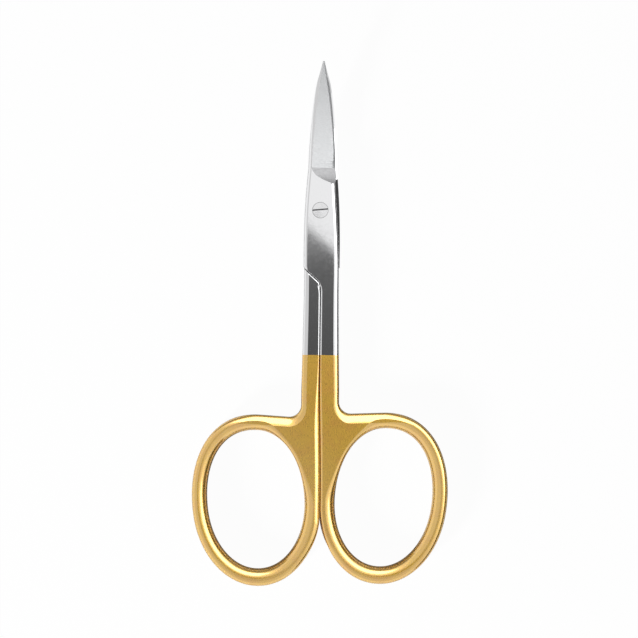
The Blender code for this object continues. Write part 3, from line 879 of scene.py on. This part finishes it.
def gold_plating():
    """Gold electroplate over brushed steel under a clear lacquer: satin flats of deep yellow with
    a brush grain and faint warmer clouds, and rounded edges that carry sharp pale highlights."""
    made, tree, shader, place = metal("gold_electroplate", "#ECBA50", 0.29)
    shader.inputs["Coat Weight"].default_value = 1
    shader.inputs["Coat Roughness"].default_value = 0.07
    shader.inputs["Coat IOR"].default_value = 2.3
    # Clouds 3 mm across, where the plating is thinner and warmer
    cloud = add(tree, "ShaderNodeTexNoise", {"Vector": place, "Scale": 330, "Detail": 3})
    tint = add(tree, "ShaderNodeValToRGB", {"Fac": cloud.outputs["Fac"]})
    tint.color_ramp.elements[0].position = 0.45
    tint.color_ramp.elements[0].color = linear("#ECBC4A")
    tint.color_ramp.elements[1].position = 0.72
    tint.color_ramp.elements[1].color = linear("#EBB34E")
    tree.links.new(tint.outputs["Color"], shader.inputs["Base Color"])
    # Brush grain 0.15 mm wide and 0.75 mm long, down the tool
    stretched = add(tree, "ShaderNodeMapping", {"Vector": place, "Scale": (1, 0.2, 1)})
    brush = {"Vector": stretched.outputs["Vector"], "Scale": 6700, "Detail": 2}
    grain = add(tree, "ShaderNodeTexNoise", brush)
    relief = {"Height": grain.outputs["Fac"], "Strength": 1, "Distance": 0.0000003}
    fine = add(tree, "ShaderNodeBump", relief)
    tree.links.new(fine.outputs["Normal"], shader.inputs["Normal"])
    dull = {"From Min": 0.35, "From Max": 0.65, "To Min": 0.27, "To Max": 0.31}
    rough = add(tree, "ShaderNodeMapRange", {"Value": grain.outputs["Fac"], **dull})
    tree.links.new(rough.outputs["Result"], shader.inputs["Roughness"])
    return made


def turned_steel():
    """The screw's steel, faced on a lathe and polished with the plate: rings so fine that they
    only break its reflections a little."""
    made, tree, shader, place = metal("faced_screw_steel", "#E8E8E9", 0.08)
    # Rings 0.08 mm apart about the screw's axis; the texture draws 20 / (2 pi) rings in a unit
    middle = {"Vector": place, "Location": (-PIVOT.x, -PIVOT.y, 0)}
    centred = add(tree, "ShaderNodeMapping", middle)
    density = 2 * math.pi / (20 * 0.00008)
    bands = {"Vector": centred.outputs["Vector"], "Scale": density, "Distortion": 0.4}
    rings = {"wave_type": "RINGS", "rings_direction": "Z"}
    turning = add(tree, "ShaderNodeTexWave", bands, rings)
    relief = {"Height": turning.outputs["Fac"], "Strength": 1, "Distance": 0.0000003}
    fine = add(tree, "ShaderNodeBump", relief)
    tree.links.new(fine.outputs["Normal"], shader.inputs["Normal"])
    return made


def slot_steel():
    """The slot's floor and walls, left rough by the cutter, in a dark grey that is painted shade.
    """
    # The slot's dark grey is painted shade in the narrow recess
    made, tree, shader, place = metal("slot_steel_painted_shade", "#6A6A6C", 0.5)
    # Cutter marks 0.05 mm apart
    marks = add(tree, "ShaderNodeTexNoise", {"Vector": place, "Scale": 20000, "Detail": 2})
    relief = {"Height": marks.outputs["Fac"], "Strength": 1, "Distance": 0.000006}
    fine = add(tree, "ShaderNodeBump", relief)
    tree.links.new(fine.outputs["Normal"], shader.inputs["Normal"])
    return made


def screw_profile(clearance, top, bottom):
    """Outside of the screw, from its head's middle to its end's, or of the bore that it fits."""
    cone_top = FACE - HEAD_RIM
    return (
        (0, top),
        (HEAD_RADIUS + clearance, top),
        (HEAD_RADIUS + clearance, cone_top),
        (STEM_RADIUS + clearance, cone_top - HEAD_RADIUS + STEM_RADIUS),
        (STEM_RADIUS + clearance, bottom),
        (0, bottom),
    )


def slot_tool():
    """A blade that cuts the driver's slot, twice as long as the screw's head is wide."""
    bm = bmesh.new()
    bmesh.ops.create_cube(bm, size=1)
    size = Vector((4 * HEAD_RADIUS, SLOT_WIDTH, 2 * SLOT_DEPTH))
    bmesh.ops.scale(bm, verts=bm.verts, vec=size)
    bmesh.ops.rotate(bm, verts=bm.verts, matrix=Matrix.Rotation(SLOT_TURN, 3, "Z"))
    bmesh.ops.translate(bm, verts=bm.verts, vec=(0, SLOT_SHIFT, FACE))
    return new_object("slot_tool", bm)


def build_screw():
    """The screw in its place, its slot cut and painted darker than its head, as shade."""
    screw = new_object("slotted_screw", turned(screw_profile(0, FACE, -FACE)))
    cut(screw, slot_tool())
    screw.data.materials.append(turned_steel())
    screw.data.materials.append(slot_steel())
    for face in screw.data.polygons:
        x, y, z = face.center
        across = abs((y - SLOT_SHIFT) * math.cos(SLOT_TURN) - x * math.sin(SLOT_TURN))
        in_slot = across < SLOT_WIDTH / 2 + SNAP and SNAP < FACE - z < SLOT_DEPTH + SNAP
        face.material_index = int(in_slot)
    screw.data.transform(Matrix.Translation(PIVOT + Vector((0, 0, FACE))))
    screw.data.shade_smooth()
    screw.data.set_sharp_from_angle(angle=SHARP_ANGLE)
    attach(screw, "rear_half")
    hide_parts("pivot_screw")


def set_camera():
    """The camera, straight above the scissors and far enough away to see them nearly flat."""
    camera = bpy.data.objects.new("camera", bpy.data.cameras.new("camera"))
    bpy.context.scene.collection.objects.link(camera)
    camera.data.lens = camera.data.sensor_width * CAMERA_HEIGHT / VIEW_WIDTH
    camera.location = (*CAMERA_AXIS, THICKNESS + CAMERA_HEIGHT)
    camera.rotation_euler = (0, 0, VIEW_TURN)
    bpy.context.scene.camera = camera


def glowing(name, level):
    """A material that only shines, at a level where 1 is white."""
    made = bpy.data.materials.new(name)
    made.use_nodes = True
    tree = made.node_tree
    tree.nodes.clear()
    light = add(tree, "ShaderNodeEmission", {"Color": linear("#FFFFFF"), "Strength": level})
    add(tree, "ShaderNodeOutputMaterial", {"Surface": light.outputs["Emission"]})
    return made, tree, light


def grade(tree, light):
    """Shades the overhead card from its dark edge by the camera to a light grey south-west of it,
    and lightens both its ends."""
    place = add(tree, "ShaderNodeTexCoord").outputs["Object"]
    dot = {"operation": "DOT_PRODUCT"}
    out = add(tree, "ShaderNodeVectorMath", {0: place, 1: (*CARD_NORMAL, 0)}, dot)
    side = (-CARD_NORMAL.y, CARD_NORMAL.x, 0)
    along = add(tree, "ShaderNodeVectorMath", {0: place, 1: side}, dot)
    first = CARD_LEVELS[0][0]
    last = CARD_LEVELS[-1][0]
    span = {"Value": out.outputs["Value"], "From Min": first, "From Max": last}
    share = add(tree, "ShaderNodeMapRange", span)
    ramp = add(tree, "ShaderNodeValToRGB", {"Fac": share.outputs["Result"]})
    elements = ramp.color_ramp.elements
    while len(elements) < len(CARD_LEVELS):
        elements.new(0.5)
    for element, (distance, level) in zip(elements, CARD_LEVELS):
        element.position = (distance - first) / (last - first)
        element.color = (level, level, level, 1)
    ends = {}
    for number, (start, end) in enumerate(CARD_END_FADES):
        fade = {"Value": along.outputs["Value"], "From Min": start, "From Max": end}
        smooth = {"interpolation_type": "SMOOTHSTEP"}
        ends[number] = add(tree, "ShaderNodeMapRange", fade, smooth).outputs["Result"]
    either = add(tree, "ShaderNodeMath", ends, {"operation": "MAXIMUM"})
    shades = {"Factor": either.outputs[0], 2: ramp.outputs["Color"], 3: CARD_END_LEVEL}
    strength = add(tree, "ShaderNodeMix", shades)
    tree.links.new(strength.outputs[0], light.inputs["Strength"])


def card(name, corners, finish):
    """A card that only the metal's reflections see."""
    bm = bmesh.new()
    bm.faces.new([bm.verts.new(corner) for corner in corners])
    made = new_object(name, bm)
    made.data.materials.append(finish)
    made.visible_camera = False
    made.visible_diffuse = False
    made.visible_shadow = False


def overhead(out, along):
    """A point at the camera's height, by its distances out to the north-east and sideways."""
    side = Vector((-CARD_NORMAL.y, CARD_NORMAL.x))
    x, y = CAMERA_AXIS + CARD_NORMAL * out + side * along
    return (x, y, THICKNESS + CAMERA_HEIGHT)


def hang_cards():
    """The card beside the camera that darkens the flats, and the flags that darken steep sides."""
    graded, tree, light = glowing("graded_card", 1)
    grade(tree, light)
    corners = [
        overhead(CARD_EDGE, -CARD_SPAN),
        overhead(CARD_EDGE, CARD_SPAN),
        overhead(-CARD_SPAN, CARD_SPAN),
        overhead(-CARD_SPAN, -CARD_SPAN),
    ]
    card("graded_card", corners, graded)
    reach, far, high = FLAG_SPAN, FLAG_DISTANCE, FLAG_HEIGHT
    east = [(far, -reach, 0), (far, reach, 0), (far, reach, high), (far, -reach, high)]
    card("east_flag", east, glowing("dark_flag", EAST_FLAG_LEVEL)[0])
    north = [(-reach, far, 0), (reach, far, 0), (reach, far, high), (-reach, far, high)]
    card("north_flag", north, glowing("grey_flag", NORTH_FLAG_LEVEL)[0])


def softbox(name, place, size, radiance):
    """A rectangular softbox that looks at the object."""
    light = bpy.data.lights.new(name, "AREA")
    light.shape = "RECTANGLE"
    light.size, light.size_y = size
    light.energy = radiance * math.pi * size[0] * size[1]
    lamp = bpy.data.objects.new(name, light)
    lamp.location = place
    lamp.rotation_euler = Vector(place).to_track_quat("Z", "Y").to_euler()
    bpy.context.scene.collection.objects.link(lamp)
    lamp.visible_camera = False
    return lamp


def seen_white(tree, kinds):
    """1 for the kinds of ray that see the background as plain white, and 0 for the rest."""
    path = add(tree, "ShaderNodeLightPath")
    seen = path.outputs[kinds[0]]
    for kind in kinds[1:]:
        either = {0: seen, 1: path.outputs[kind]}
        seen = add(tree, "ShaderNodeMath", either, {"operation": "MAXIMUM"}).outputs[0]
    return seen


def lay_floor():
    """A pale floor that keeps the object's shadow, lifted to white for the camera."""
    bm = bmesh.new()
    bmesh.ops.create_circle(bm, cap_ends=True, radius=FLOOR_RADIUS, segments=FLOOR_STEPS)
    bmesh.ops.translate(bm, verts=bm.verts, vec=(0, 0, -FLOOR_GAP))
    floor = new_object("floor", bm)
    pale = bpy.data.materials.new("pale_floor")
    pale.use_nodes = True
    tree = pale.node_tree
    shader = tree.nodes["Principled BSDF"]
    shader.inputs["Base Color"].default_value = linear("#F3F3F3")
    shader.inputs["Roughness"].default_value = 0.9
    shader.inputs["Specular IOR Level"].default_value = 0
    seen = seen_white(tree, ("Is Camera Ray", "Is Transmission Ray"))
    mirrored = seen_white(tree, ("Is Glossy Ray",))
    times = {"operation": "MULTIPLY"}
    faint = add(tree, "ShaderNodeMath", {0: mirrored, 1: FLOOR_SHEEN}, times)
    parts = {0: seen, 1: FLOOR_LIFT, 2: faint.outputs[0]}
    lifted = add(tree, "ShaderNodeMath", parts, {"operation": "MULTIPLY_ADD"})
    white = add(tree, "ShaderNodeEmission", {"Color": linear("#FFFFFF"), "Strength": 1})
    shades = {"Fac": lifted.outputs[0], 1: shader.outputs[0], 2: white.outputs[0]}
    mixed = add(tree, "ShaderNodeMixShader", shades)
    tree.links.new(mixed.outputs[0], tree.nodes["Material Output"].inputs["Surface"])
    floor.data.materials.append(pale)


def surround():
    """White all round to the camera and to the metal's reflections, and dim for the rest."""
    world = bpy.data.worlds.new("surround")
    bpy.context.scene.world = world
    world.use_nodes = True
    tree = world.node_tree
    seen = seen_white(tree, ("Is Camera Ray", "Is Transmission Ray", "Is Glossy Ray"))
    levels = {"Value": seen, "To Min": ROOM_LEVEL, "To Max": 1}
    level = add(tree, "ShaderNodeMapRange", levels)
    sky = tree.nodes["Background"]
    sky.inputs["Color"].default_value = linear("#FFFFFF")
    tree.links.new(level.outputs["Result"], sky.inputs["Strength"])


flat_ground = ground_steel("satin_ground_steel", "#C6C7C8")
# The hollow's darker grey is painted shade, standing in for the dark that its steep run-out
# reflects
painted_shade_hollow = ground_steel("hollow_steel_painted_shade", "#ADADAE")
finishes = (polished_steel(), gold_plating(), flat_ground, painted_shade_hollow, lapped_steel())
top = FACE + OVERRUN
stem = STEM_RADIUS + STEM_CLEARANCE
countersink = new_object("countersink", turned(screw_profile(STEM_CLEARANCE, top, -top)))
plain_bore = new_object("plain_bore", turned(((0, top), (stem, top), (stem, -top), (0, -top))))
finish_half(build_half("front_forging", FRONT, finishes), countersink, "front_half")
finish_half(build_half("rear_forging", REAR, finishes), plain_bore, "rear_half")
build_screw()

set_camera()
bpy.context.scene.view_settings.view_transform = "Standard"
hang_cards()
highlights = softbox("north_east_softbox", HIGHLIGHT_PLACE, HIGHLIGHT_SIZE, HIGHLIGHT_RADIANCE)
highlights.visible_diffuse = False
shadows = softbox("south_west_softbox", SHADOW_PLACE, SHADOW_SIZE, SHADOW_RADIANCE)
shadows.visible_glossy = False
lay_floor()
surround()
